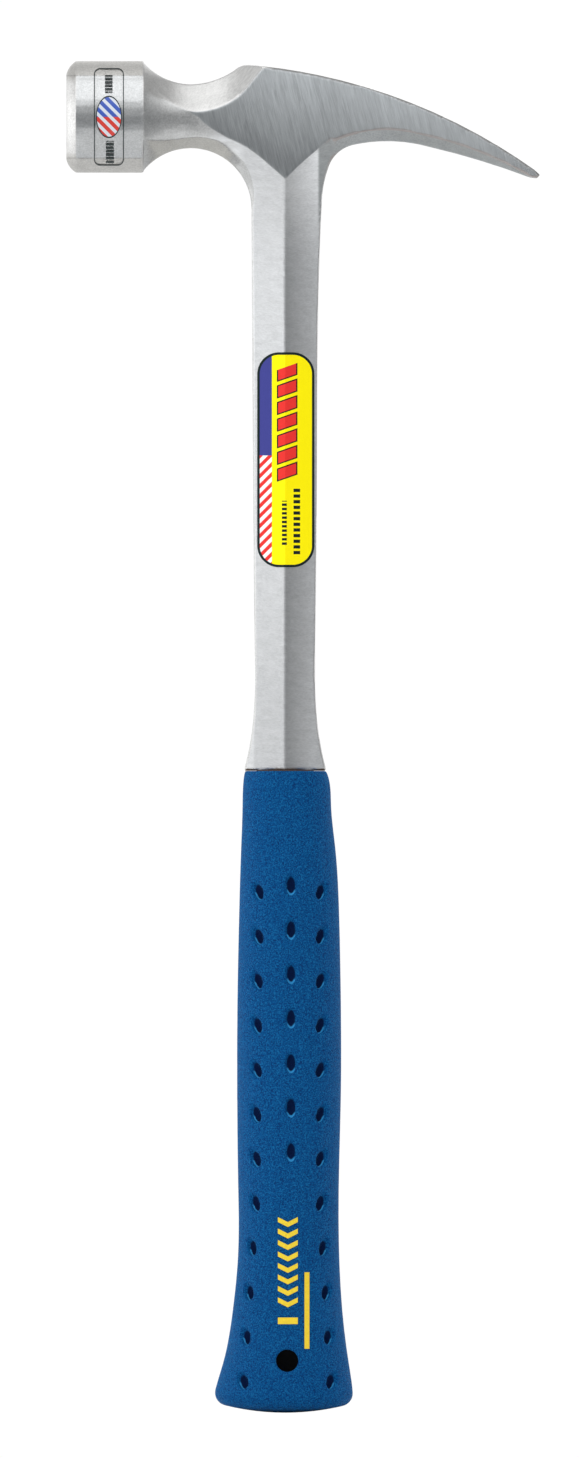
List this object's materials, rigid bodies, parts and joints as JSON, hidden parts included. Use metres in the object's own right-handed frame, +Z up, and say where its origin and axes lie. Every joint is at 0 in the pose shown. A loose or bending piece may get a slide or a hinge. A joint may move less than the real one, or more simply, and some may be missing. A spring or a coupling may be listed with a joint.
{
  "type": "claw hammer",
  "caption": "One-piece steel hammer with a round striking poll, a long straight two-tined claw, a ridged shank and a moulded blue cushion grip with a hang hole.",
  "frame": {"origin": "on the shank's centre line, level with the underside of the head where a rack's two prongs carry it", "axes": "+Z up along the shank towards the head, +X towards the claw, -X towards the striking face, Y across the head"},
  "size_m": [0.1424, 0.0338, 0.4065],
  "materials": {
    "steel": "ground and belt-polished forged steel, clear lacquered",
    "bond": "dried brown bonding compound",
    "grip": "matt grained soft vinyl, mid blue",
    "hole_core": "matt black",
    "emblem_paint": "yellow paint filled into a pressed ornament",
    "label": "printed glossy yellow film with a dark border",
    "decal": "clear film transfer with a thin printed outline"
  },
  "bodies": {
    "root": {"forged_head_and_shank": "steel", "tang_bond": "bond", "cushion_grip": "grip", "hang_hole_core": "hole_core", "grip_emblem_paint": "emblem_paint", "shank_label": "label", "poll_decal": "decal"}
  },
  "joints": []
}
